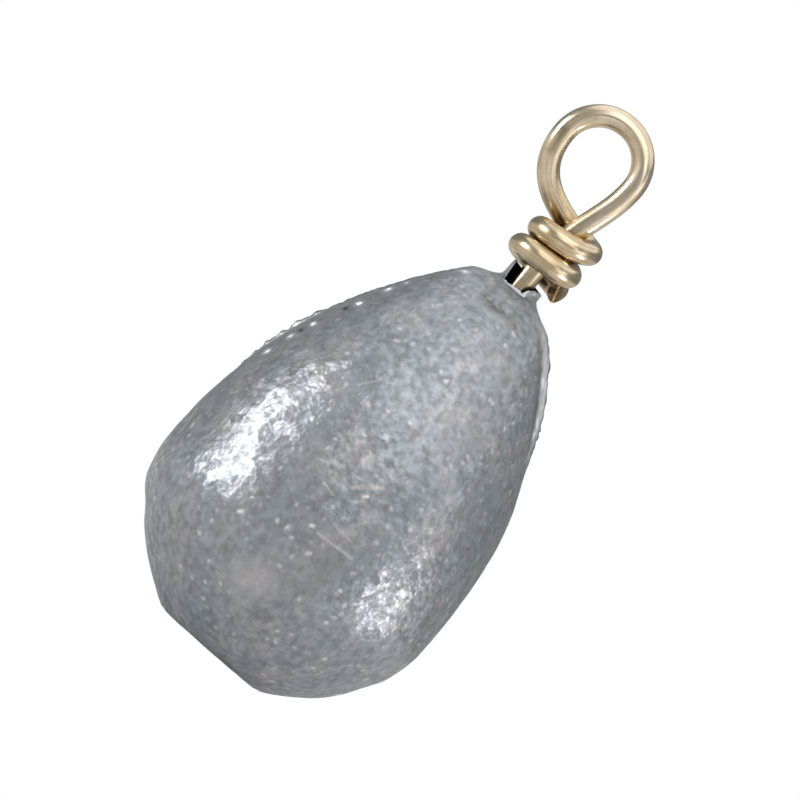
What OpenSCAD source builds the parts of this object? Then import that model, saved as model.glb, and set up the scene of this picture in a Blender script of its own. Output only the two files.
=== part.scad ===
// Pear-shaped fishing sinker: a cast lead body with a swivelling eye of brass wire.
// The wire's upset foot turns in a pocket deep in the lead, its shank in a plain bore.
// Above the collar the wire forms the eye and is wrapped round its own shank.
// +Z runs up the swivel axis from the middle of the flat base, and -Y is the front.

/* [Lead body] */
// Widest diameter of the body
body_d = 15.1; // [13:0.1:20]
// Height of the widest place above the base
belly_h = 5.95; // [5:0.05:8]
// Diameter of the flat base, where the pouring gate was sheared off
base_d = 5.5; // [4:0.1:8]
// Height at which the tapering sides would meet in a point
point_h = 23.35; // [21:0.05:30]
// Diameter at the shoulder, where the taper ends
shoulder_d = 4.64; // [3.6:0.01:6]
// Slope of the shoulder up to the collar, in degrees
shoulder_slope = 27; // [10:1:40]
// Fillet between the shoulder and the collar
fillet_r = 0.3; // [0.2:0.05:0.5]

/* [Collar] */
// Height of the rim above the top of the shoulder, at its highest
collar_h = 0.97; // [0.8:0.01:2]
// Thickness of the collar's thin wall
collar_wall = 0.12; // [0.1:0.01:0.4]
// Gap round the wire inside the collar's mouth
mouth_gap = 0.37; // [0.2:0.01:0.6]
// Depth of the mouth below the rim
mouth_depth = 1.25; // [1:0.05:2]
// Width of the rim's lip inside its bevel
lip_w = 0.02; // [0.01:0.01:0.08]
// Height of the bevel round the outside of the rim
bevel_h = 0.1; // [0.05:0.01:0.3]
// Fall of the rim from its left to its right, in degrees
rim_tilt = 14; // [0:1:18]
// Width of the floor of the piece that is broken out of the rim
notch_w = 1.1; // [0.6:0.05:1.3]
// Depth of the piece that is broken out of the rim
notch_depth = 0.96; // [0.2:0.01:1]
// Place of the broken piece, in degrees from the front towards +X
notch_turn = -16; // [-40:1:40]

/* [Parting flash] */
// Thickness of the flash left between the two mould halves
flash_t = 0.22; // [0.1:0.01:0.4]
// How far the right flash stands out
flash_right_h = 0.2; // [0.1:0.01:0.5]
// How far the left flash stands out
flash_left_h = 0.14; // [0.1:0.01:0.5]

/* [Wire eye] */
// Diameter of the brass wire
wire_d = 1.04; // [0.8:0.01:1.3]
// Inner width of the eye
eye_inner_d = 2.97; // [2.4:0.01:5]
// Height of the middle of the eye above the top wrap
eye_rise = 3.42; // [3:0.01:5]
// Distance of the middle of the eye from the swivel axis
eye_shift = 1.12; // [0.8:0.01:1.5]
// Number of turns wrapped round the shank
wraps = 2; // [1:1:4]
// Space between one wrap and the next
wrap_space = 0.08; // [0.06:0.01:0.3]
// Space between the wraps and the shank
wrap_clear = 0.2; // [0.14:0.01:0.4]
// How much the pliers flattened the wraps, on the radius
wrap_flat = 0.025; // [0:0.005:0.05]
// How much further the wraps stand from the shank with each turn
wrap_spread = 0.05; // [0:0.01:0.1]
// How much higher the wraps sit at their right than in their middle
wrap_lean = 0.03; // [0:0.01:0.1]
// How much lower the wraps sit at their front than in their middle
wrap_sag = 0.2; // [0:0.01:0.22]
// Space between the collar's rim and the end of the lowest wrap
rim_clear = 0.08; // [0.03:0.01:0.4]
// How far the end of the wire springs out of the lowest wrap
tail_spring = 0.18; // [0:0.01:0.25]
// Length of the wedge that the cutters left on the end of the wire
nip_l = 0.36; // [0.1:0.01:0.5]

/* [Swivel] */
// Depth of the wire's foot below the rim
foot_depth = 7.5; // [4:0.1:12]
// Diameter of the upset foot
foot_d = 2.3; // [1.8:0.1:3.5]
// Thickness of the foot's edge
foot_t = 0.5; // [0.3:0.05:1]
// Height of the cone between the foot and the shank
foot_cone_h = 0.6; // [0.3:0.05:1.2]
// Running clearance between the shank and its bore, on the radius
bore_clear = 0.04; // [0.02:0.01:0.08]
// Clearance round the foot in its pocket
pocket_clear = 0.06; // [0.03:0.01:0.15]

/* [Hidden] */

// How much a cut runs past the face that it opens
overrun = 0.5;
// The formed wire is this much slimmer than the shank, on the radius, where they join
seam_step = 0.01;

// Curve exponents: 2 is an ellipse at the bottom, and 1 is a straight cone above
bottom_curve_share = 1.69;
taper_curve_share = 2.34;
// Ends of the right and left flash, as shares of the way from the belly to the shoulder
flash_right_shares = [0.65, 1];
flash_left_shares = [0.36, 0.83];
// Part of the flash over which its edge runs out at each end, as a share of its length
flash_runout_share = 0.12;
// Torn edge of the notch from left to right: place along its width, height over its depth
notch_shares = [[-0.58, 1.3], [-0.56, 0.55], [-0.48, 0.06], [-0.3, 0], [0.36, 0.05], [0.5, 0.02],
                [0.58, 0.28], [0.8, 0.42], [0.96, 0.5], [1.1, 1.3]];
// Where the wire ends short of the last full wrap, as a share of a turn
tail_share = 0.07;
// Last part of the wraps, over which the wire springs out, as a share of a turn
spring_share = 0.5;
// How closely the wraps' middle follows the leaning leg, as a share of its lean
wrap_follow_share = 1.08;
// Where the shank starts to lean, as a share of a wrap below the top one
lean_start_share = 1.37;
// How stiffly the leaning leg leaves the shank and joins the eye, as shares of its height
leg_shares = [0.4, 0.35];
// How stiffly the wire leaves the eye and joins the wraps, as shares of that distance
cross_shares = [0.45, 0.35];
// Set of the eye behind the shank, as a share of the wraps' radius
eye_back_share = 0.34;
// End of the round part of the eye, in degrees from its right side
eye_sweep = 182;
// Thickness and length of the wedge's edge, as shares of the wire
nip_shares = [0.2, 0.86];
// Lean of the wedge's edge from the swivel axis, in degrees
nip_lean = 13;

curve_steps = 18;
fillet_steps = 6;
lathe_faces = 96;
wire_sides = 16;
wrap_rings = 28;
eye_rings = 24;
leg_rings = 12;

body_r = body_d / 2;
base_r = base_d / 2;
shoulder_r = shoulder_d / 2;
shank_r = wire_d / 2;
bore_r = shank_r + bore_clear;
mouth_r = shank_r + mouth_gap;
lip_r = mouth_r + lip_w;
collar_r = mouth_r + collar_wall;
foot_r = foot_d / 2;

// The bottom curve is cut by the base where its radius is base_r
bottom_reach = belly_h / pow(1 - pow(base_r / body_r, bottom_curve_share), 1 / bottom_curve_share);
taper_h = point_h - belly_h;
shoulder_z = belly_h + taper_h * pow(1 - shoulder_r / body_r, 1 / taper_curve_share);
collar_z = shoulder_z + (shoulder_r - collar_r) * tan(shoulder_slope);
rim_z = collar_z + collar_h;
mouth_z = rim_z - mouth_depth;
foot_z = rim_z - foot_depth;

wrap_r = wire_d + wrap_clear;
wrap_pitch = wire_d + 2 * wrap_flat + wrap_space;
wrap_end = 360 * (wraps - tail_share);
wrap_count = round(wrap_rings * (wrap_end + 90) / 360);
wrap_angles = [for (i = [1:wrap_count]) between(-90, wrap_end, i / wrap_count)];
// Distance of the wire from the shank's axis, and its drop below the right of the top wrap
function wrap_radius(a) = wrap_r + wrap_spread * a / 360
    + tail_spring * pow(max(0, 1 - (wrap_end - a) / (360 * spring_share)), 2);
function wrap_drop(a) = wrap_pitch * a / 360 + wrap_sag * sin(a) + wrap_lean * (1 - cos(a));
// The wraps turn above the rim, clear of the lip and of the bevel's outer edge
wrap_reach = shank_r + wrap_flat + rim_clear;
function height_over(r, a) = sqrt(max(0, pow(wrap_reach, 2) - pow(wrap_radius(a) - r, 2)));
top_wrap_z = rim_z + max([for (a = wrap_angles)
    wrap_drop(a) + max(height_over(lip_r, a), height_over(collar_r, a) - bevel_h)]);
lean_z = top_wrap_z - wrap_pitch * lean_start_share;
eye_r = (eye_inner_d + wire_d) / 2;
eye_z = top_wrap_z + eye_rise;
eye_back = wrap_r * eye_back_share;

function bottom_r(z) = body_r * pow(1 - pow((belly_h - z) / bottom_reach, bottom_curve_share),
                                    1 / bottom_curve_share);
function taper_r(z) = body_r * (1 - pow((z - belly_h) / taper_h, taper_curve_share));
function between(a, b, share) = a + (b - a) * share;

// Half of the body's outline, from the base up to the collar's rim
fillet_reach = fillet_r * tan(45 - shoulder_slope / 2);
body_outline = concat(
    [[0, 0]],
    [for (i = [0:curve_steps]) let (z = between(0, belly_h, i / curve_steps)) [bottom_r(z), z]],
    [for (i = [1:curve_steps]) let (z = between(belly_h, shoulder_z, i / curve_steps)) [taper_r(z), z]],
    [for (i = [0:fillet_steps]) let (a = between(270 - shoulder_slope, 180, i / fillet_steps))
        [collar_r + fillet_r * (1 + cos(a)), collar_z + fillet_reach + fillet_r * sin(a)]],
    [[collar_r, rim_z - bevel_h], [lip_r, rim_z], [0, rim_z]]);

// Half of the space that turns round the wire: pocket, bore and mouth
swivel_outline = [
    [0, foot_z - pocket_clear],
    [foot_r + pocket_clear, foot_z - pocket_clear],
    [foot_r + pocket_clear, foot_z + foot_t + pocket_clear],
    [bore_r, foot_z + foot_t + foot_cone_h + pocket_clear],
    [bore_r, mouth_z - mouth_gap],
    [mouth_r, mouth_z],
    [mouth_r, rim_z + overrun],
    [0, rim_z + overrun]];

shank_outline = [
    [0, foot_z],
    [foot_r, foot_z],
    [foot_r, foot_z + foot_t],
    [shank_r, foot_z + foot_t + foot_cone_h],
    [shank_r, lean_z],
    [0, lean_z]];

// Flash along one side: a fin whose edge follows the taper and runs out at both ends
module flash(shares, stand) {
    low = between(belly_h, shoulder_z, shares[0]);
    high = between(belly_h, shoulder_z, shares[1]);
    edge = [for (i = [0:curve_steps])
        let (t = i / curve_steps, z = between(low, high, t),
             rise = min(1, t / flash_runout_share, (1 - t) / flash_runout_share))
        [taper_r(z) + stand * rise, z]];
    rotate([90, 0, 0])
        linear_extrude(height = flash_t, center = true)
            polygon(concat([[0, low]], edge, [[0, high]]));
}

// Piece broken out of the front of the rim
module rim_notch() {
    rotate([0, 0, notch_turn])
        translate([0, 0, rim_z - notch_depth])
            rotate([90, 0, 0])
                linear_extrude(height = collar_r + overrun)
                    polygon([for (p = notch_shares) [p[0] * notch_w, p[1] * notch_depth]]);
}

// Everything above the plane in which the rim falls to its right
module above_rim() {
    translate([-lip_r, 0, rim_z])
        rotate([0, rim_tilt, 0])
            translate([-overrun, -collar_r - overrun, 0])
                cube([2 * (collar_r + overrun), 2 * (collar_r + overrun), collar_h]);
}

module lead_body() {
    color([0.56, 0.58, 0.61])
        difference() {
            union() {
                rotate_extrude($fn = lathe_faces) polygon(body_outline);
                flash(flash_right_shares, flash_right_h);
                mirror([1, 0, 0]) flash(flash_left_shares, flash_left_h);
            }
            rotate_extrude($fn = lathe_faces) polygon(swivel_outline);
            rim_notch();
            above_rim();
        }
}

function bezier(p, t) = pow(1 - t, 3) * p[0] + 3 * t * pow(1 - t, 2) * p[1]
                      + 3 * t * t * (1 - t) * p[2] + t * t * t * p[3];
function unit(v) = v / norm(v);

// Middle line of the formed wire: leaning leg, round eye, crossing behind the leg, wraps
leg_top = [eye_r - eye_shift, 0, eye_z];
leg_h = eye_z - lean_z;
leg_line = [
    [0, 0, lean_z],
    [0, 0, lean_z + leg_h * leg_shares[0]],
    leg_top - [0, 0, leg_h * leg_shares[1]],
    leg_top];
function eye_point(a) = [eye_r * cos(a) - eye_shift, eye_back * (1 - cos(180 * a / eye_sweep)) / 2,
                         eye_z + eye_r * sin(a)];
// The wraps' middle follows the leg, which leans by this much of its lean at each height
function lean_share(z) = let (t = max(0, z - lean_z) / leg_h) t * t * (3 - 2 * t);
function wrap_point(a) =
    let (z = top_wrap_z - wrap_drop(a), follow = leg_top[0] * lean_share(z) * wrap_follow_share)
    [follow + wrap_radius(a) * cos(a), -wrap_radius(a) * sin(a), z];
eye_end = eye_point(eye_sweep);
wrap_start = wrap_point(-90);
cross_l = norm(wrap_start - eye_end);
wrap_way = unit(wrap_point(wrap_angles[0]) - wrap_start);
cross_line = [
    eye_end,
    eye_end + cross_l * cross_shares[0] * [-sin(eye_sweep), 0, cos(eye_sweep)],
    wrap_start - cross_l * cross_shares[1] * wrap_way,
    wrap_start];
wire_line = concat(
    [[0, 0, lean_z - shank_r]],
    [for (i = [0:leg_rings]) bezier(leg_line, i / leg_rings)],
    [for (i = [1:eye_rings]) eye_point(eye_sweep * i / eye_rings)],
    [for (i = [1:leg_rings]) bezier(cross_line, i / leg_rings)],
    [for (a = wrap_angles) wrap_point(a)]);
last_ring = len(wire_line) - 1;
first_wrap_ring = len(wire_line) - wrap_count;
wire_along = [for (i = [0:last_ring])
    unit(wire_line[min(i + 1, last_ring)] - wire_line[max(i - 1, 0)])];

// A direction square to the wire, carried along it without twisting
function square_to(v, along) = unit(v - (v * along) * along);
wire_side = [for (i = 0, v = [1, 0, 0]; i <= last_ring;
                  i = i + 1, v = square_to(v, wire_along[min(i, last_ring)])) v];

// Ring of points round the wire: an ellipse of two half widths, the first along across
function wire_ring(place, i, r, across) =
    let (side = square_to(wire_side[i], wire_along[i]), up = cross(wire_along[i], side),
         turn = atan2(across * up, across * side), edge = cross(wire_along[i], across))
    [for (j = [0:wire_sides - 1]) let (a = 360 * j / wire_sides - turn)
        place + r[0] * cos(a) * across + r[1] * sin(a) * edge];

// The wire is round as it leaves the eye and comes flattened to the wraps
function flat_share(i) = min(1, max(0, 1 - (first_wrap_ring - i) / leg_rings));
function wrap_out(i) = let (a = wrap_angles[max(0, i - first_wrap_ring)]) [cos(a), -sin(a), 0];
function formed_ring(i, r) = let (flat = wrap_flat * flat_share(i))
    flat > 0 ? wire_ring(wire_line[i], i, [r - flat, r + flat], square_to(wrap_out(i), wire_along[i]))
             : wire_ring(wire_line[i], i, [r, r], square_to(wire_side[i], wire_along[i]));

// Tube swept along the middle line, with the wedge of the cut at its end
module formed_wire(r) {
    tip = wire_line[last_ring] + nip_l * wire_along[last_ring];
    tip_across = square_to([cos(nip_lean), 0, sin(nip_lean)], wire_along[last_ring]);
    rings = concat(
        [for (i = [0:last_ring]) each formed_ring(i, r)],
        wire_ring(tip, last_ring, r * nip_shares, tip_across));
    walls = [for (i = [0:last_ring]) for (j = [0:wire_sides - 1])
        let (k = (j + 1) % wire_sides, low = i * wire_sides, high = low + wire_sides)
        each [[low + j, high + k, low + k], [low + j, high + j, high + k]]];
    first_cap = [[for (j = [0:wire_sides - 1]) j]];
    last_cap = [[for (j = [wire_sides - 1:-1:0]) (last_ring + 1) * wire_sides + j]];
    polyhedron(points = rings, faces = concat(walls, first_cap, last_cap));
}

// Least space between stretches of the wire that pass each other
wire_gap = min([for (i = [0:last_ring]) for (j = [i + leg_rings:1:last_ring])
    norm(wire_line[i] - wire_line[j])]) - wire_d - 2 * wrap_flat;
echo(least_gap_between_wires = wire_gap);

module wire_eye() {
    color([0.74, 0.64, 0.45]) {
        rotate_extrude($fn = lathe_faces) polygon(shank_outline);
        formed_wire(shank_r - seam_step);
    }
}

lead_body();
wire_eye();
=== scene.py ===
import math

import bpy
import numpy as np
from mathutils import Matrix, Vector, noise


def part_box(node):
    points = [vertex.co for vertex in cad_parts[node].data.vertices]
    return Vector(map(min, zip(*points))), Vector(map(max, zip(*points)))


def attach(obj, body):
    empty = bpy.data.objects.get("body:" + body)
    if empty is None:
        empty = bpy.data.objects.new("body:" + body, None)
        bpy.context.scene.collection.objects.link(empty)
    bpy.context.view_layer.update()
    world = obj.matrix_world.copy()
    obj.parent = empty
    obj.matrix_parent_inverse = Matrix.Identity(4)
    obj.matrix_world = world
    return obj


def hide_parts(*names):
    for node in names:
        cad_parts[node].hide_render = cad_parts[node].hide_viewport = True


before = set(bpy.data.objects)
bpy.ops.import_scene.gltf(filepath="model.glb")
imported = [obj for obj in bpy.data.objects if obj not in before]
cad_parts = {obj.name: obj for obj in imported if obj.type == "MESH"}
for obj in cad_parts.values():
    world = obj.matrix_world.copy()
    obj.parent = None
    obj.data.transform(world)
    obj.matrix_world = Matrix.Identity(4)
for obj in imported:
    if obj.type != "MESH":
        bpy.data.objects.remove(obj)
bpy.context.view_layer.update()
bpy.ops.object.select_all(action="DESELECT")

# The lead body is one casting, poured round the headed end of the brass wire. It came out of a
# two-part mould: thin fins of flash stand along the parting line, the gate was sheared off flat
# at the bottom, and the thin collar round the mouth has broken away at the front.
MM = 0.001
body_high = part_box("lead_body")[1]
body_r = body_high.y
rim_z = body_high.z
belly_z = 5.95 * MM
base_r = 2.75 * MM
apex_z = 23.35 * MM
shoulder_r = 2.32 * MM
shoulder_slope = math.radians(27)
collar_r = 1.01 * MM
mouth_r = 0.89 * MM
mouth_depth = 1.25 * MM
bore_r = 0.56 * MM
foot_z = rim_z - 7.5 * MM
foot_r = 1.15 * MM
foot_t = 0.5 * MM
foot_cone = 0.6 * MM
foot_clear = 0.06 * MM
bottom_power = 1.69
taper_power = 2.34
lathe_sides = 80
crisp = 0.03 * MM

bottom_reach = belly_z / (1 - (base_r / body_r) ** bottom_power) ** (1 / bottom_power)
taper_h = apex_z - belly_z


def bottom_radius(z):
    return body_r * (1 - ((belly_z - z) / bottom_reach) ** bottom_power) ** (1 / bottom_power)


def taper_radius(z):
    return body_r * (1 - ((z - belly_z) / taper_h) ** taper_power)


shoulder_z = belly_z + taper_h * (1 - shoulder_r / body_r) ** (1 / taper_power)
collar_z = shoulder_z + (shoulder_r - collar_r) * math.tan(shoulder_slope)
mouth_z = rim_z - mouth_depth

pocket_r = foot_r + foot_clear
pocket_top = foot_z + foot_t + foot_clear
pocket_floor = foot_z - foot_clear
cone_top = foot_z + foot_t + foot_cone

# Rings of the lathe form as (radius, height): up the outside to the rim, and down the hole. A
# ring close to an edge keeps the edge crisp under the smoothing.
rings = [(bottom_radius(z), z) for z in np.linspace(0, belly_z, 16)[1:]]
rings += [(taper_radius(z), z) for z in np.linspace(belly_z, shoulder_z, 30)[1:]]
for share in (0.35, 0.7):
    rings.append((shoulder_r - share * (shoulder_r - collar_r),
                  shoulder_z + share * (collar_z - shoulder_z)))
rings += [(collar_r + 0.14 * MM, collar_z - 0.02 * MM), (collar_r + 0.02 * MM, collar_z + 0.12 * MM)]
rings += [(collar_r, z) for z in np.linspace(collar_z + 0.26 * MM, rim_z - 0.1 * MM, 4)]
rings += [(collar_r - crisp, rim_z - 0.02 * MM), (mouth_r + crisp, rim_z)]
rings += [(mouth_r, z) for z in np.linspace(rim_z - 0.05 * MM, mouth_z, 5)]
rings += [(bore_r + crisp, mouth_z - 0.3 * MM), (bore_r, mouth_z - 0.45 * MM)]
rings += [(bore_r, cone_top + 0.2 * MM), (bore_r + crisp, cone_top + 0.12 * MM)]
rings += [(pocket_r - crisp, pocket_top + 2 * crisp), (pocket_r, pocket_top)]
rings += [(pocket_r, pocket_floor + crisp), (pocket_r - crisp, pocket_floor), (0.4 * foot_r, pocket_floor)]

bpy.ops.mesh.primitive_circle_add(vertices=lathe_sides, radius=base_r, fill_type="NOTHING")
lead = bpy.context.object
lead.name = lead.data.name = "cast_lead_body"

# The circle's corners crowd together at the left and right, where the fins of flash need them
crowding = 0.62
for corner in lead.data.vertices:
    turn = math.atan2(corner.co.y, corner.co.x)
    turn -= crowding / 2 * math.sin(2 * turn)
    corner.co = base_r * Vector((math.cos(turn), math.sin(turn), 0))


def next_ring(size, rise):
    """Extrudes the selected ring upwards by rise and scales it by size."""
    bpy.ops.mesh.extrude_region_move(TRANSFORM_OT_translate={"value": (0, 0, rise)})
    bpy.ops.transform.resize(value=(size, size, 1), center_override=(0, 0, 0))


bpy.ops.object.mode_set(mode="EDIT")
bpy.ops.mesh.select_mode(type="VERT")
bpy.ops.mesh.select_all(action="SELECT")
last_r, last_z = base_r, 0
for r, z in rings:
    next_ring(r / last_r, z - last_z)
    last_r, last_z = r, z
bpy.ops.mesh.merge(type="CENTER")
bpy.ops.object.mode_set(mode="OBJECT")
for corner in lead.data.vertices:
    corner.select = corner.co.z < 1e-7
bpy.ops.object.mode_set(mode="EDIT")
for size in (0.93, 0.67, 0.5):
    next_ring(size, 0)
bpy.ops.mesh.merge(type="CENTER")
bpy.ops.mesh.select_all(action="SELECT")
bpy.ops.mesh.normals_make_consistent(inside=False)
bpy.ops.object.mode_set(mode="OBJECT")

smooth = lead.modifiers.new("smooth", "SUBSURF")
smooth.levels = smooth.render_levels = 2
bpy.ops.object.modifier_apply(modifier="smooth")

# Flash: a thin torn fin on each side, in the plane between the mould halves. How far it stands
# out is given at heights along the body, in millimetres. At the right it stands on a low land.
fin_half_t = 0.13 * MM
fins = {
    1: [(15.6, 0), (16.4, 0.05), (17.1, 0.13), (18.4, 0.21), (19.8, 0.17), (20.7, 0.1), (21.1, 0)],
    -1: [(10.6, 0), (11.3, 0.11), (13.9, 0.15), (15.0, 0.12), (15.8, 0.08), (18.2, 0.06),
         (20.9, 0.06), (21.1, 0)],
}
land = [(15.4, 0), (16.6, 0.05), (17.4, 0.1), (20.0, 0.1), (20.9, 0.03), (21.1, 0)]
land_half_w = 1.35 * MM
land_edge = 0.05 * MM
least_torn = 0.2

# Swells and dents: place across, depth place and height, width and height, how far it stands
# out, in millimetres
swells = [
    (7.0, 0.0, 12.4, 3.0, 2.4, 0.13),
    (-6.9, 0.0, 4.2, 2.0, 0.6, 0.06),
    (-6.6, 0.0, 3.1, 2.0, 0.6, -0.12),
    (-3.6, 0.0, 0.7, 1.5, 0.6, -0.08),
    (6.9, 0.0, 4.1, 2.0, 0.7, 0.08),
    (-1.9, 0.0, 21.2, 0.5, 0.35, 0.24),
    (-0.4, -7.4, 6.6, 2.2, 1.8, -0.06),
    (-3.0, -6.5, 10.5, 1.4, 3.0, -0.05),
    (2.4, -6.2, 12.6, 1.5, 2.0, 0.05),
    (-1.8, -5.6, 2.6, 1.5, 0.8, -0.06),
    (4.2, -6.0, 3.8, 1.5, 1.1, 0.13),
]

# The skin is wavy, and rougher in the small. The casting sits a little askew on its flat, and
# the neck is filled out at the front.
wave_l, wave_deep = 3.2 * MM, 0.03 * MM
rough_l, rough_deep = 0.9 * MM, 0.014 * MM
grit_l, grit_deep = 0.4 * MM, 0.01 * MM
base_shift = 0.25 * MM
shift_top, shift_over = 3.7 * MM, 2.4 * MM
neck_fill = 0.4 * MM
neck_fill_r, neck_fill_w = 2.3 * MM, 0.55 * MM
flat_uneven = 0.05 * MM


def read_off(table, place):
    """The value at a place in a table of (place, value) in millimetres."""
    return np.interp(place / MM, *zip(*table))


def cast_surface(p):
    """Where a point of the smooth lathe form p lies on the real casting."""
    x, y, z = p
    out = Vector((x, y, 0))
    r = out.length
    outside = z < collar_z + 0.1 * MM and r > (collar_r + 0.1 * MM if z > foot_z - 1 * MM else 0)
    if not outside:
        return p
    out = out / r if r > 1e-6 else Vector((0, 0, 0))
    moved = p.copy()
    side = 1 if x > 0 else -1
    stand = read_off(fins[side], z)
    if stand > 0:
        torn = 1 + 0.9 * noise.noise((7.1 * side, 0, z / (0.5 * MM)))
        torn += 0.6 * noise.noise((3.3 * side, 5, z / (0.16 * MM)))
        moved.x += side * stand * MM * max(least_torn, torn) * math.exp(-((y / fin_half_t) ** 4))
    if side > 0:
        edge = 1 / (1 + math.exp(min(50, (abs(y) - land_half_w) / land_edge)))
        moved.x += read_off(land, z) * MM * edge
    for across, deep, up, width, height, stands in swells:
        far = ((x / MM - across) ** 2 + (y / MM - deep) ** 2) / width ** 2 + ((z / MM - up) / height) ** 2
        moved += out * stands * MM * math.exp(-far)
    rough = noise.fractal(p / wave_l, 0.6, 2.0, 2) * wave_deep
    rough += noise.noise(p / rough_l) * rough_deep + noise.noise(p / grit_l) * grit_deep
    moved += out * rough
    low = min(1, max(0, (shift_top - z) / shift_over))
    moved.x += base_shift * low * low * (3 - 2 * low)
    if z > 19 * MM and y < 0:
        moved.z -= neck_fill * math.exp(-(((r - neck_fill_r) / neck_fill_w) ** 2)) * (y / r) ** 2
    if z < 0.1 * MM:
        moved.z += flat_uneven * (1 + noise.noise(p / (0.8 * MM))) * min(1, r / base_r)
    return moved


for corner in lead.data.vertices:
    corner.co = cast_surface(corner.co)

# The collar's rim falls to its right, and its front is torn away in an uneven bite, given as
# (place across, fall from the rim) in millimetres
rim_fall = math.radians(14)
bite = [(-0.88, -0.05), (-0.84, -0.5), (-0.78, -1.0), (-0.74, -1.06), (-0.3, -1.02), (0.12, -0.96),
        (0.28, -1.0), (0.36, -0.78), (0.55, -0.56), (0.88, -0.47), (0.96, -0.33), (1.02, -0.34)]
bite_front, bite_runout = -0.12 * MM, 0.25 * MM


def rim_height(x, y):
    """Height of the torn rim over a place on the collar."""
    tilted = rim_z - (x + mouth_r) * math.tan(rim_fall)
    if y > bite_front:
        return tilted
    torn = read_off(bite, x)
    ragged = 0.05 * MM * noise.noise(Vector((x, y, 0)) / (0.15 * MM))
    front = min(1, (bite_front - y) / bite_runout)
    return tilted + min(0, rim_z + torn * MM + ragged - tilted) * front


for corner in lead.data.vertices:
    x, y, z = corner.co
    collar_low = (collar_z if y > 0 else collar_z - 0.2 * MM) + 0.05 * MM
    if z > collar_low and math.hypot(x, y) > mouth_r - 0.02 * MM:
        corner.co.z = collar_low + (z - collar_low) * (rim_height(x, y) - collar_low) / (rim_z - collar_low)

for face in lead.data.polygons:
    face.use_smooth = True

# Where the skin differs: the fins' torn edges and the crease beside the land are painted dark,
# painted shade, and their flanks painted bright, painted light, with chips and pits beside them,
# given as (height, size) in millimetres. The torn rim is fresh metal, painted brighter as a
# highlight, the neck below it is rubbed dull, and the mouth is painted black inside, painted
# shade. Torn metal also has a slant of its own.
chips = {
    1: [(16.1, 0.12), (17.0, 0.12), (17.5, 0.2), (19.1, 0.16)],
    -1: [(11.9, 0.2), (13.1, 0.2), (14.2, 0.14), (16.25, 0.16), (17.6, 0.2), (18.4, 0.12),
         (20.5, 0.12)],
}
pits = {1: [], -1: [(13.6, 0.13), (15.7, 0.16)]}
beside_fin = {1: [(0, 1.0), (30, 1.0)], -1: [(16.3, 1.85), (18.4, 0.9)]}
edge_shade_depth = {1: 0.2, -1: 0.11}
crease_w = 0.25 * MM
slant_edge = 0.15 * MM
rubbed_from, rubbed_over = 19.8 * MM, 0.9 * MM
mark_edge = 0.08 * MM
skin_marks = ("painted_edge_shade", "fresh_cut_and_painted_light", "pits_and_mouth_shade", "rubbed")
for name in skin_marks:
    lead.data.attributes.new(name, "FLOAT", "POINT")
lead.data.attributes.new("torn_way", "FLOAT_VECTOR", "POINT")
painted_edge_shade, fresh_cut_and_painted_light, pits_and_mouth_shade, rubbed = (lead.data.attributes[name].data for name in skin_marks)
torn_way = lead.data.attributes["torn_way"].data


def spots(table, z):
    """How much of a round spot lies at height z, from a table of (height, size) in millimetres."""
    return sum(math.exp(-(((z / MM - up) / size) ** 2)) for up, size in table)


for corner in lead.data.vertices:
    x, y, z = corner.co
    r = math.hypot(x, y)
    side = 1 if x > 0 else -1
    stand = read_off(fins[side], z)
    if stand > 0.02 and r > 1.5 * MM:
        share = math.exp(-((y / fin_half_t) ** 4))
        frayed = min(1, 0.9 + 0.8 * noise.noise((3.3 * side, 9, z / (0.45 * MM))))
        frayed *= min(1, stand / 0.07)
        # Painted shade: the fin's torn edge is darkened where it stands out
        dark = frayed * max(0, 1 - stand * (1 - share) / edge_shade_depth[side]) * min(1, share / 0.1)
        # Painted light: the fin's flank is made brighter, more on the land
        painted_flank_light = min(1, 4 * share * (1 - share)) * min(1, stand / 0.12)
        slant = 0
        if side > 0 and y < 0:
            on_land = read_off(land, z) / 0.1
            slant = on_land * min(1, max(0, (land_half_w - abs(y)) / slant_edge)) * (1 - share)
            slant *= 0.9 + 0.7 * noise.noise(Vector((x, y, z)) / (0.3 * MM))
            painted_flank_light = max(painted_flank_light, 0.55 * slant)
            # Painted shade in the crease where the land meets the body
            crease = on_land * math.exp(-(((abs(y) - land_half_w) / crease_w) ** 2))
            dark = max(dark, 0.45 * crease)
        beside = math.exp(-(((y / MM + read_off(beside_fin[side], z)) / 0.3) ** 2))
        chip = spots(chips[side], z) * beside
        painted_edge_shade[corner.index].value = dark
        fresh_cut_and_painted_light[corner.index].value = min(1, 0.75 * painted_flank_light + chip)
        pits_and_mouth_shade[corner.index].value = min(1, spots(pits[side], z) * beside)
        if side > 0:
            torn_way[corner.index].vector = (-0.5 * slant, -0.5 * slant, 0.45 * painted_flank_light)
        else:
            torn_way[corner.index].vector = (0, -0.6 * chip, -0.4 * chip)
    if z > rubbed_from and r > collar_r - 0.1 * MM:
        rubbed[corner.index].value = min(1, (z - rubbed_from) / rubbed_over)
    # Painted shade: the mouth is made black inside, below the torn rim
    if z > mouth_z - 0.5 * MM and r < mouth_r + 0.015 * MM:
        pits_and_mouth_shade[corner.index].value = min(1, max(0, (rim_height(x, y) - z) / mark_edge))
    # Fresh metal at the torn front rim, also painted brighter as a highlight
    elif z > 21 * MM and y < -0.3 * MM and -0.8 * MM < x < 0.45 * MM:
        fresh_cut_and_painted_light[corner.index].value = max(0, min(1, (collar_r + 0.22 * MM - r) / mark_edge))
        torn_way[corner.index].vector = Vector((0, -0.9, -0.3)) * fresh_cut_and_painted_light[corner.index].value


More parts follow.
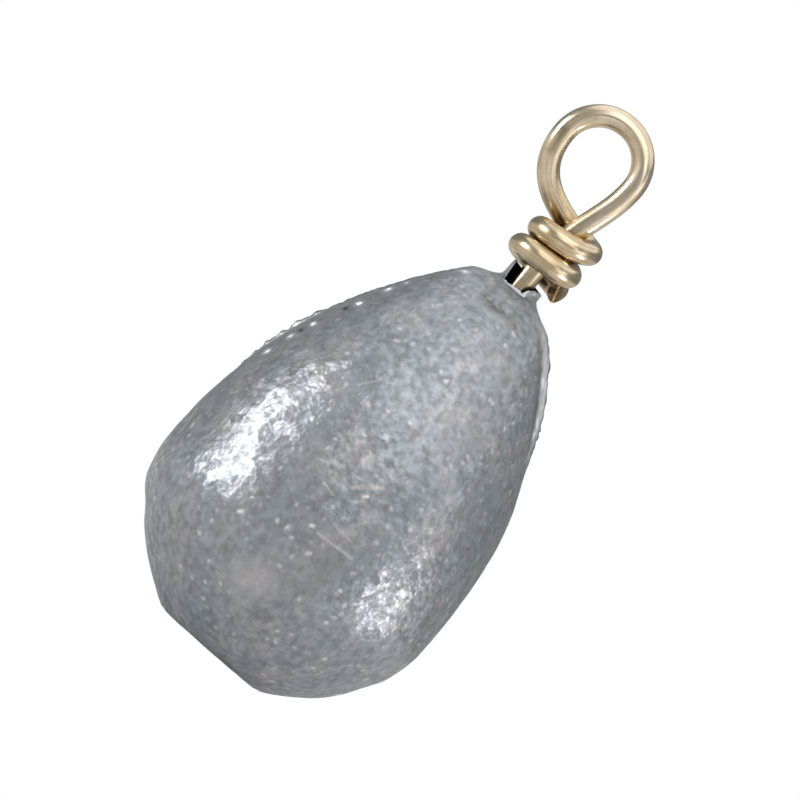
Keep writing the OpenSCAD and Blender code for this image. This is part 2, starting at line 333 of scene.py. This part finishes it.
def add(tree, kind, **values):
    """A new node of that kind with its settings, and its inputs by name, given as in_NAME."""
    made = tree.nodes.new("ShaderNode" + kind)
    for name, value in values.items():
        if name.startswith("in_"):
            made.inputs[name[3:].replace("_", " ")].default_value = value
        else:
            setattr(made, name, value)
    return made


def new_material(name):
    made = bpy.data.materials.new(name)
    made.use_nodes = True
    return made, made.node_tree, made.node_tree.nodes["Principled BSDF"]


def ramp(tree, source, stops):
    """A colour ramp over source: stops are (place, colour or grey)."""
    made = tree.nodes.new("ShaderNodeValToRGB")
    while len(made.color_ramp.elements) < len(stops):
        made.color_ramp.elements.new(0.5)
    for element, (place, shade) in zip(made.color_ramp.elements, stops):
        element.position = place
        element.color = (*shade, 1) if isinstance(shade, tuple) else (shade, shade, shade, 1)
    tree.links.new(source, made.inputs["Fac"])
    return made.outputs["Color"]


def mix(tree, factor, under, over, blend_type="MIX"):
    """The colour under with over laid on it, by factor."""
    made = add(tree, "Mix", data_type="RGBA", blend_type=blend_type)
    for socket, value in ((0, factor), (6, under), (7, over)):
        if isinstance(value, (int, float, tuple)):
            made.inputs[socket].default_value = (*value, 1) if isinstance(value, tuple) else value
        else:
            tree.links.new(value, made.inputs[socket])
    return made.outputs[2]


def stroke(tree, place, start, end, half):
    """1 on a line over the front between two places (across, up) in millimetres, 0 at half."""
    flat = add(tree, "VectorMath", operation="MULTIPLY_ADD")
    flat.inputs[1].default_value = (1 / MM, 0, 1 / MM)
    flat.inputs[2].default_value = (-start[0], 0, -start[1])
    tree.links.new(place, flat.inputs[0])
    along = Vector((end[0] - start[0], 0, end[1] - start[1]))
    share = add(tree, "VectorMath", operation="DOT_PRODUCT")
    share.inputs[1].default_value = along / along.length_squared
    tree.links.new(flat.outputs[0], share.inputs[0])
    held = add(tree, "Clamp")
    tree.links.new(share.outputs["Value"], held.inputs["Value"])
    nearest = add(tree, "VectorMath", operation="MULTIPLY")
    nearest.inputs[1].default_value = along
    tree.links.new(held.outputs[0], nearest.inputs[0])
    off = add(tree, "VectorMath", operation="DISTANCE")
    tree.links.new(flat.outputs[0], off.inputs[0])
    tree.links.new(nearest.outputs[0], off.inputs[1])
    made = add(tree, "MapRange", interpolation_type="SMOOTHSTEP",
               in_From_Max=half, in_To_Min=1.0, in_To_Max=0.0)
    tree.links.new(off.outputs["Value"], made.inputs["Value"])
    return made.outputs["Result"]


# Bare lead goes dull blue-grey in air. The casting skin is frosted with fine facets, whose
# glints are painted into the colour as bright dots, and has warmer patches where it was handled.
cool_lead = (0.332, 0.372, 0.404)
plain_lead = (0.378, 0.408, 0.44)
warm_lead = (0.43, 0.424, 0.45)
glint_white = (0.9, 0.91, 0.93)
fresh_lead = (0.84, 0.87, 0.91)
edge_shade_black = (0.07, 0.07, 0.065)
pit_and_shade_black = (0.03, 0.018, 0.012)
fleck_bend = 0.3 * MM
facet_tilt = 0.16
grain_depth = 0.04 * MM
lead_skin, tree, shader = new_material("frosted_lead")
shader.inputs["Metallic"].default_value = 0.62
place = add(tree, "TexCoord").outputs["Object"]
patches = add(tree, "TexNoise", in_Scale=420, in_Detail=3, in_Roughness=0.55)
mottle = add(tree, "TexNoise", in_Scale=1400, in_Detail=2, in_Roughness=0.5)
grains = add(tree, "TexNoise", in_Scale=2900, in_Detail=1, in_Roughness=0.45)
flecks = add(tree, "TexVoronoi", in_Scale=1950)
for texture in (patches, mottle, grains):
    tree.links.new(place, texture.inputs["Vector"])
bent = add(tree, "VectorMath", operation="MULTIPLY_ADD")
bent.inputs[1].default_value = (fleck_bend, fleck_bend, fleck_bend)
tree.links.new(grains.outputs["Color"], bent.inputs[0])
tree.links.new(place, bent.inputs[2])
tree.links.new(bent.outputs[0], flecks.inputs["Vector"])
tone = ramp(tree, patches.outputs["Fac"], [(0.3, cool_lead), (0.52, plain_lead), (0.66, warm_lead)])
mottling = ramp(tree, mottle.outputs["Fac"], [(0.34, 0.88), (0.5, 1.0), (0.64, 1.08)])
tone = mix(tree, 1.0, tone, mottling, "MULTIPLY")
graining = ramp(tree, grains.outputs["Fac"], [(0.34, 0.83), (0.5, 1.0), (0.66, 1.14)])
tone = mix(tree, 1.0, tone, graining, "MULTIPLY")
# Painted glints: bright dots of the facets laid into the colour
painted_glints = ramp(tree, flecks.outputs["Distance"], [(0.08, 0.7), (0.34, 0.0)])
painted_glints = mix(tree, 1.0, painted_glints, ramp(tree, flecks.outputs["Color"], [(0.4, 0.12), (0.85, 1.0)]), "MULTIPLY")
tone = mix(tree, painted_glints, tone, glint_white)

# Marks on the front, each from one place to another (across, up), with its half width in
# millimetres, its strength and its colour: a darker patch at the middle, which is painted shade,
# a paler one low down, the scratches, and four bright dots, which are painted glints
shade_marks = [
    # Painted shade: the darker patch at the middle
    ((0.9, 5.0), (2.0, 6.1), 1.9, 0.3, (0.3, 0.32, 0.33)),
    ((-0.7, 3.4), (-0.2, 3.9), 1.5, 0.75, (0.6, 0.58, 0.58)),
    ((0.45, 7.2), (2.3, 7.35), 0.13, 0.55, (0.8, 0.78, 0.77)),
    ((0.75, 7.95), (1.85, 7.9), 0.11, 0.4, (0.7, 0.71, 0.73)),
    ((-0.9, 9.1), (-0.15, 8.95), 0.09, 0.5, (0.75, 0.75, 0.76)),
    ((0.3, 9.8), (1.3, 10.65), 0.2, 0.4, (0.8, 0.72, 0.7)),
    ((3.6, 9.4), (4.15, 9.2), 0.1, 0.4, (0.75, 0.76, 0.78)),
    ((-2.6, 13.4), (-2.0, 14.2), 0.09, 0.4, (0.75, 0.75, 0.76)),
    # Painted glints: the four bright dots
    ((0.0, 7.25), (0.08, 7.3), 0.17, 0.9, (1, 1, 1)),
    ((-2.85, 5.6), (-2.75, 5.7), 0.16, 0.8, (1, 1, 1)),
    ((0.95, 9.8), (1.05, 9.9), 0.16, 0.8, (1, 1, 1)),
    ((0.7, 6.2), (0.8, 6.3), 0.16, 0.7, (1, 1, 1)),
]
for start, end, half, strength, colour in shade_marks:
    mask = add(tree, "Math", operation="MULTIPLY")
    mask.inputs[1].default_value = strength
    tree.links.new(stroke(tree, place, start, end, half), mask.inputs[0])
    tone = mix(tree, mask.outputs[0], tone, colour)
wear_and_painted_light = {name: add(tree, "Attribute", attribute_name=name).outputs["Fac"] for name in skin_marks}
# Fresh metal of the chips and torn rim, with painted light on the fins' flanks and the rim
tone = mix(tree, wear_and_painted_light["fresh_cut_and_painted_light"], tone, fresh_lead)
tone = mix(tree, wear_and_painted_light["painted_edge_shade"], tone, edge_shade_black)
# Dark pits, and painted shade inside the mouth
tone = mix(tree, wear_and_painted_light["pits_and_mouth_shade"], tone, pit_and_shade_black)
tree.links.new(tone, shader.inputs["Base Color"])
sheen = ramp(tree, grains.outputs["Fac"], [(0.32, 0.42), (0.5, 0.38), (0.68, 0.33)])
sheen = mix(tree, wear_and_painted_light["rubbed"], sheen, (0.58, 0.58, 0.58))
tree.links.new(mix(tree, wear_and_painted_light["pits_and_mouth_shade"], sheen, (0.9, 0.9, 0.9)), shader.inputs["Roughness"])

# Each facet is tilted a little at random, the grain between them is rough, and torn metal has
# its own slant
tilt = add(tree, "VectorMath", operation="SUBTRACT")
tilt.inputs[1].default_value = (0.5, 0.5, 0.5)
tree.links.new(flecks.outputs["Color"], tilt.inputs[0])
tilted = add(tree, "VectorMath", operation="MULTIPLY_ADD")
tilted.inputs[1].default_value = (facet_tilt, facet_tilt, facet_tilt)
tree.links.new(tilt.outputs[0], tilted.inputs[0])
tree.links.new(add(tree, "NewGeometry").outputs["Normal"], tilted.inputs[2])
slanted = add(tree, "VectorMath", operation="ADD")
tree.links.new(add(tree, "Attribute", attribute_name="torn_way").outputs["Vector"], slanted.inputs[0])
tree.links.new(tilted.outputs[0], slanted.inputs[1])
facet = add(tree, "VectorMath", operation="NORMALIZE")
tree.links.new(slanted.outputs[0], facet.inputs[0])
fine = add(tree, "Bump", in_Strength=1.0, in_Distance=grain_depth)
tree.links.new(grains.outputs["Fac"], fine.inputs["Height"])
tree.links.new(facet.outputs[0], fine.inputs["Normal"])
tree.links.new(fine.outputs["Normal"], shader.inputs["Normal"])
lead.data.materials.append(lead_skin)
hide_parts("lead_body")
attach(lead, "body")

# The eye is one piece of half-hard brass wire, headed at its lower end. It leans as it leaves the
# lead, turns round in an open eye, crosses behind itself and is wrapped twice round its own
# shank with pliers, which flattened the wraps. Cutters left the wedge on its end.
wire_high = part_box("wire_eye")[1]
wire_r = 0.53 * MM
wire_sides = 32
eye_r = 2.01 * MM
eye_x = -1.11 * MM
eye_z = wire_high.z - 2.54 * MM
top_wrap_z = eye_z - 3.42 * MM
lean_z = top_wrap_z - 1.6 * MM
eye_back = 0.42 * MM
eye_sweep = math.radians(182)
leg_top = Vector((eye_r + eye_x, 0, eye_z))
leg_h = eye_z - lean_z

# The wraps by turns from the right of the top one: how far the wire has dropped, and how far it
# stands from the middle, in millimetres. They sag at the front, and the tail springs out.
wrap_turns = 1.93
drops = [(-0.5, -0.75), (-0.25, -0.29), (0, 0), (0.25, 0.49), (0.5, 0.64), (0.75, 0.9),
         (1.0, 1.39), (1.25, 1.66), (1.5, 1.79), (1.75, 1.98), (1.93, 2.21), (2.1, 2.4)]
stands = [(-0.5, 1.2), (-0.25, 1.2), (0, 1.2), (0.25, 1.22), (0.5, 1.225), (0.75, 1.25),
          (1.0, 1.39), (1.25, 1.33), (1.5, 1.28), (1.75, 1.36), (1.93, 1.55), (2.1, 1.65)]
lean_follow = 1.08


def eased(table, place):
    """A smooth value through a table of (place, value), by Catmull-Rom."""
    i = min(max(2, sum(x < place for x, _ in table)), len(table) - 2)
    (xa, ya), (x0, y0), (x1, y1), (xb, yb) = table[i - 2:i + 2]
    t = (place - x0) / (x1 - x0)
    m0 = (y1 - ya) / (x1 - xa) * (x1 - x0)
    m1 = (yb - y0) / (xb - x0) * (x1 - x0)
    return (y0 + t * m0 + t * t * (3 * (y1 - y0) - 2 * m0 - m1) + t ** 3 * (2 * (y0 - y1) + m0 + m1))


def bezier(a, b, c, d, t):
    return Vector((1 - t) ** 3 * a + 3 * t * (1 - t) ** 2 * b + 3 * t * t * (1 - t) * c + t ** 3 * d)


def eye_point(turn):
    back = eye_back * (1 - math.cos(math.pi * turn / eye_sweep)) / 2
    return Vector((eye_x + eye_r * math.cos(turn), back, eye_z + eye_r * math.sin(turn)))


def wrap_point(turn):
    turns = turn / math.tau
    z = top_wrap_z - eased(drops, turns) * MM
    r = eased(stands, turns) * MM
    t = max(0, z - lean_z) / leg_h
    middle = lean_follow * leg_top.x * t * t * (3 - 2 * t)
    return Vector((middle + r * math.cos(turn), -r * math.sin(turn), z))


eye_end = eye_point(eye_sweep)
wrap_start = wrap_point(-math.pi / 2)
cross_l = (wrap_start - eye_end).length
leaving = Vector((-math.sin(eye_sweep), 0, math.cos(eye_sweep)))
joining = (wrap_point(-math.pi / 2 + 0.05) - wrap_start).normalized()
last_turn = math.tau * wrap_turns
tail = wrap_point(last_turn)
tail_way = (tail - wrap_point(last_turn - 0.02)).normalized()
nip_l = 0.36 * MM
nip_steps = 12

# The foot's rims as (radius, height above its underside), and then the wire's middle line from
# the foot to the tail
foot_rims = [(foot_r - 0.05 * MM, 0), (foot_r, 0.05 * MM), (foot_r, foot_t - crisp),
             (foot_r - crisp, foot_t), (wire_r + crisp, foot_t + foot_cone),
             (wire_r, foot_t + foot_cone + 0.05 * MM)]
route = [Vector((0, 0, foot_z + up)) for _, up in foot_rims]
route += [Vector((0, 0, z)) for z in np.linspace(route[-1].z, lean_z, 60)[1:-1]]
leg_foot = Vector((0, 0, lean_z))
leg_up = Vector((0, 0, 0.4 * leg_h))
leg_down = Vector((0, 0, 0.35 * leg_h))
route += [bezier(leg_foot, leg_foot + leg_up, leg_top - leg_down, leg_top, t)
          for t in np.linspace(0, 1, 60)]
route += [eye_point(turn) for turn in np.linspace(0, eye_sweep, 110)[1:]]
cross_out = eye_end + 0.48 * cross_l * leaving
cross_in = wrap_start - 0.35 * cross_l * joining
route += [bezier(eye_end, cross_out, cross_in, wrap_start, t) for t in np.linspace(0, 1, 60)[1:]]
first_wrap = len(route)
wrap_turning = list(np.linspace(-math.pi / 2, last_turn, 240)[1:])
route += [wrap_point(turn) for turn in wrap_turning]
first_nip = len(route)
route += [tail + tail_way * nip_l * step / nip_steps for step in range(1, nip_steps + 1)]

path = bpy.data.curves.new("wire_route", "CURVE")
path.dimensions = "3D"
spline = path.splines.new("POLY")
spline.points.add(len(route) - 1)
for point, spot in zip(spline.points, route):
    point.co = (*spot, 1)
path.bevel_depth = wire_r
path.bevel_resolution = wire_sides // 2 - 2
wire = bpy.data.objects.new("brass_wire_eye", path)
bpy.context.collection.objects.link(wire)
bpy.context.view_layer.objects.active = wire
wire.select_set(True)
bpy.ops.object.convert(target="MESH")
wire = bpy.context.object
wire.data.name = "brass_wire_eye"

# The foot was upset cold. Pliers pressed the wraps together: their section is flatter on the
# outside and wider along the shank. The cutters' two faces meet in an edge that leans a little
# from the shank and lies off the middle of the wire.
flat_in, flat_along = 0.94, 1.09
flat_runin = 40
nip_lean = math.radians(-26)
nip_close, nip_off = 0.9, 0.4
edge_way = Vector((math.sin(nip_lean), 0, math.cos(nip_lean)))
edge_way = (edge_way - edge_way.dot(tail_way) * tail_way).normalized()
nip_across = tail_way.cross(edge_way)
for corner in wire.data.vertices:
    ring = corner.index // wire_sides
    middle_line = route[ring]
    away = corner.co - middle_line
    if ring < len(foot_rims):
        away *= foot_rims[ring][0] / wire_r
    if ring >= first_wrap - flat_runin:
        turn = wrap_turning[min(max(0, ring - first_wrap), len(wrap_turning) - 1)]
        blend = min(1, (ring - first_wrap + flat_runin) / flat_runin)
        outwards = Vector((math.cos(turn), -math.sin(turn), 0))
        away = away + away.dot(outwards) * (flat_in - 1) * blend * outwards
        away.z *= 1 + (flat_along - 1) * blend * max(0, math.sin(turn))
    if ring >= first_nip:
        share = (ring - first_nip + 1) / nip_steps
        room = wire_r * (1 - nip_close * share)
        off = away.dot(nip_across)
        away += (max(-room, min(room, off)) - off + nip_off * wire_r * share) * nip_across
    corner.co = middle_line + away
bpy.ops.object.mode_set(mode="EDIT")
bpy.ops.mesh.select_all(action="SELECT")
bpy.ops.mesh.fill_holes(sides=0)
bpy.ops.mesh.normals_make_consistent(inside=False)
bpy.ops.object.mode_set(mode="OBJECT")
bpy.ops.object.shade_smooth_by_angle(angle=math.radians(38))

# Drawing the wire through its die left fine lines along it. Where strands lie close the brass is
# painted brown, painted shade, by each point's depth in the coil, and so is the nipped end.
drawn_out = 0.1
drawn = wire.data.attributes.new("drawn", "FLOAT_VECTOR", "POINT").data
length = 0
for ring, middle_line in enumerate(route):
    length += (middle_line - route[max(0, ring - 1)]).length
    for step in range(wire_sides):
        around = math.tau * step / wire_sides
        along = drawn_out * length / MM
        drawn[ring * wire_sides + step].vector = (along, math.cos(around), math.sin(around))
# Painted shade: brown deep in the coil and on the nipped end
painted_coil_shade = wire.data.attributes.new("painted_coil_shade", "FLOAT", "POINT").data
for corner in wire.data.vertices:
    x, y, z = corner.co
    depth = (1.5 * MM - math.hypot(x, y)) / (0.3 * MM)
    above = (top_wrap_z + 0.3 * MM - z) / (0.35 * MM)
    below = (z - top_wrap_z + 2.0 * MM) / (0.3 * MM)
    painted_coil_shade[corner.index].value = max(0, min(1, depth, above, below))
    past_nip = corner.index // wire_sides - first_nip - 5
    if past_nip > 0:
        painted_coil_shade[corner.index].value = min(1, 0.4 + 0.1 * past_nip)

dark_brass = (0.58, 0.46, 0.28)
plain_brass = (0.74, 0.6, 0.4)
pale_brass = (0.84, 0.7, 0.5)
line_depth = 0.02 * MM
brass, tree, shader = new_material("drawn_brass")
shader.inputs["Metallic"].default_value = 1
place = add(tree, "TexCoord").outputs["Object"]
stain = add(tree, "TexNoise", in_Scale=700, in_Detail=4, in_Roughness=0.6)
tree.links.new(place, stain.inputs["Vector"])
lines = add(tree, "TexNoise", in_Scale=4, in_Detail=2, in_Roughness=0.5)
tree.links.new(add(tree, "Attribute", attribute_name="drawn").outputs["Vector"], lines.inputs["Vector"])
tone = ramp(tree, stain.outputs["Fac"], [(0.35, dark_brass), (0.55, plain_brass), (0.7, pale_brass)])
tone = mix(tree, 1.0, tone, ramp(tree, lines.outputs["Fac"], [(0.35, 0.8), (0.6, 1.06)]), "MULTIPLY")

# A darker patch on the left of the ring, painted shade; the ring above the wraps painted paler,
# a painted highlight; and painted shade in the crevices
# Painted shade: a darker patch on the left of the ring
painted_ring_shade = stroke(tree, place, (-3.05, 27.2), (-3.25, 28.3), 0.4)
height = add(tree, "SeparateXYZ")
tree.links.new(place, height.inputs[0])
# Painted highlight: the ring above the wraps is made paler and creamier
paler_ring_highlight = add(tree, "MapRange", in_From_Min=25.0 * MM, in_From_Max=26.6 * MM)
tree.links.new(height.outputs["Z"], paler_ring_highlight.inputs["Value"])
coil_shade = add(tree, "Attribute", attribute_name="painted_coil_shade").outputs["Fac"]
for mask, tint in ((painted_ring_shade, (0.6, 0.58, 0.52)), (paler_ring_highlight.outputs["Result"], (1.18, 1.23, 1.36)),
                   (coil_shade, (0.48, 0.37, 0.26))):
    tone = mix(tree, mask, tone, mix(tree, 1.0, tone, tint, "MULTIPLY"))
tree.links.new(tone, shader.inputs["Base Color"])
tree.links.new(ramp(tree, stain.outputs["Fac"], [(0.35, 0.3), (0.65, 0.2)]), shader.inputs["Roughness"])
dull = add(tree, "Bump", in_Strength=0.5, in_Distance=line_depth)
tree.links.new(lines.outputs["Fac"], dull.inputs["Height"])
tree.links.new(dull.outputs["Normal"], shader.inputs["Normal"])
wire.data.materials.append(brass)
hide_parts("wire_eye")
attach(wire, "eye")

# The sinker stands on a plain sheet of white paper in a white room. Both are white to the camera
# and bright in the metal, the sheet less so, and the sheet keeps the sinker's shadow.
sheet_glow = 0.72
metal_share = 0.3
room_light = 0.3
bpy.ops.mesh.primitive_plane_add(size=1.2, location=(0, 0, 0))
sheet = bpy.context.object
sheet.name = "white_sheet"
paper, tree, shader = new_material("white_paper")
shader.inputs["Base Color"].default_value = (0.8, 0.8, 0.8, 1)
shader.inputs["Roughness"].default_value = 0.9
shader.inputs["Specular IOR Level"].default_value = 0.1
rays = add(tree, "LightPath")
mirrored = add(tree, "Math", operation="ADD")
tree.links.new(rays.outputs["Is Glossy Ray"], mirrored.inputs[0])
tree.links.new(rays.outputs["Is Transmission Ray"], mirrored.inputs[1])
weaker = add(tree, "Math", operation="MULTIPLY")
tree.links.new(mirrored.outputs[0], weaker.inputs[0])
weaker.inputs[1].default_value = metal_share
seen = add(tree, "Math", operation="ADD")
tree.links.new(rays.outputs["Is Camera Ray"], seen.inputs[0])
tree.links.new(weaker.outputs[0], seen.inputs[1])
glow = add(tree, "Math", operation="MULTIPLY")
tree.links.new(seen.outputs[0], glow.inputs[0])
glow.inputs[1].default_value = sheet_glow
shader.inputs["Emission Color"].default_value = (1, 1, 1, 1)
tree.links.new(glow.outputs[0], shader.inputs["Emission Strength"])
sheet.data.materials.append(paper)

world = bpy.data.worlds.new("white_room")
bpy.context.scene.world = world
world.use_nodes = True
tree = world.node_tree
rays = add(tree, "LightPath")
seen = add(tree, "Math", operation="ADD")
tree.links.new(rays.outputs["Is Camera Ray"], seen.inputs[0])
tree.links.new(rays.outputs["Is Glossy Ray"], seen.inputs[1])
seen_too = add(tree, "Math", operation="ADD", use_clamp=True)
tree.links.new(seen.outputs[0], seen_too.inputs[0])
tree.links.new(rays.outputs["Is Transmission Ray"], seen_too.inputs[1])
level = add(tree, "MapRange", in_To_Min=room_light, in_To_Max=1.0)
tree.links.new(seen_too.outputs[0], level.inputs["Value"])
sky = tree.nodes["Background"]
sky.inputs["Color"].default_value = (1, 1, 1, 1)
tree.links.new(level.outputs["Result"], sky.inputs["Strength"])

# The metal also sees a round grey wall, darker behind the sinker than in front of it. It is open
# at the top, and it neither lights nor shades anything.
room_r, room_h, room_z = 0.5, 0.6, 0.1
walls, tree, shader = new_material("grey_walls")
shader.inputs["Base Color"].default_value = (0.02, 0.02, 0.02, 1)
across_room = add(tree, "SeparateXYZ")
tree.links.new(add(tree, "TexCoord").outputs["Object"], across_room.inputs[0])
behind = add(tree, "MapRange", in_From_Min=-0.1, in_From_Max=0.3, in_To_Min=0.31, in_To_Max=0.2)
tree.links.new(across_room.outputs["Y"], behind.inputs["Value"])
shader.inputs["Emission Color"].default_value = (0.92, 0.985, 1, 1)
tree.links.new(behind.outputs["Result"], shader.inputs["Emission Strength"])
bpy.ops.mesh.primitive_cylinder_add(vertices=64, radius=room_r, depth=room_h,
                                    location=(0, 0, room_z), end_fill_type="NOTHING")
room = bpy.context.object
room.name = "grey_room"
room.data.materials.append(walls)
room.visible_camera = False
room.visible_diffuse = False
room.visible_shadow = False

# Lamps: one at the left, a broad strip and two small near ones at the right, and a large soft one
# above the camera with a brighter band at its lower edge. Each has its direction from the sinker,
# its distance, its width and height, and its power.
middle = Vector((-0.71 * MM, 0, 14.22 * MM))
lamp_colour = (1, 0.952, 0.94)
lamps = {
    "left_lamp": ((-0.96, -0.25, 0.03), 0.3, 0.12, 0.14, 0.53),
    "right_lamp": ((0.96, -0.2, -0.18), 0.067, 0.022, 0.01, 0.01),
    "right_strip": ((0.947, -0.308, 0.087), 0.32, 0.1, 0.28, 0.05),
    "right_near": ((0.763, -0.545, 0.343), 0.0422, 0.02, 0.018, 0.0009),
    "upper_soft": ((-0.02, -0.74, 0.67), 0.3, 0.3, 0.22, 0.178),
    "front_band": ((0.2, -0.89, 0.41), 0.3, 0.32, 0.09, 0.06),
}
for name, (direction, far, width, height, power) in lamps.items():
    light = bpy.data.lights.new(name, "AREA")
    light.shape = "RECTANGLE"
    light.size, light.size_y = width, height
    light.energy = power
    light.color = lamp_colour
    lamp = bpy.data.objects.new(name, light)
    bpy.context.collection.objects.link(lamp)
    lamp.location = middle + far * Vector(direction).normalized()
    lamp.rotation_mode = "QUATERNION"
    lamp.rotation_quaternion = (-Vector(direction)).to_track_quat("-Z", "Y")

# The camera looks at the sinker from the front, level with the sheet, and is rolled so that the
# swivel axis runs to the upper right.
view_width = 36.16 * MM
camera_far = 1.2
camera_z = 0
axis_slope = math.radians(48.75)
lens = bpy.data.cameras.new("camera")
lens.sensor_width = 36
lens.lens = lens.sensor_width * camera_far / view_width
lens.clip_start, lens.clip_end = 0.05, 10
camera = bpy.data.objects.new("camera", lens)
bpy.context.collection.objects.link(camera)
camera.location = (middle.x, -camera_far, camera_z)
camera.rotation_mode = "QUATERNION"
looking = (middle - camera.location).to_track_quat("-Z", "Y")
roll = Matrix.Rotation(math.pi / 2 - axis_slope, 4, "Z")
camera.rotation_quaternion = (looking.to_matrix().to_4x4() @ roll).to_quaternion()
bpy.context.scene.camera = camera

bpy.context.scene.view_settings.view_transform = "Standard"
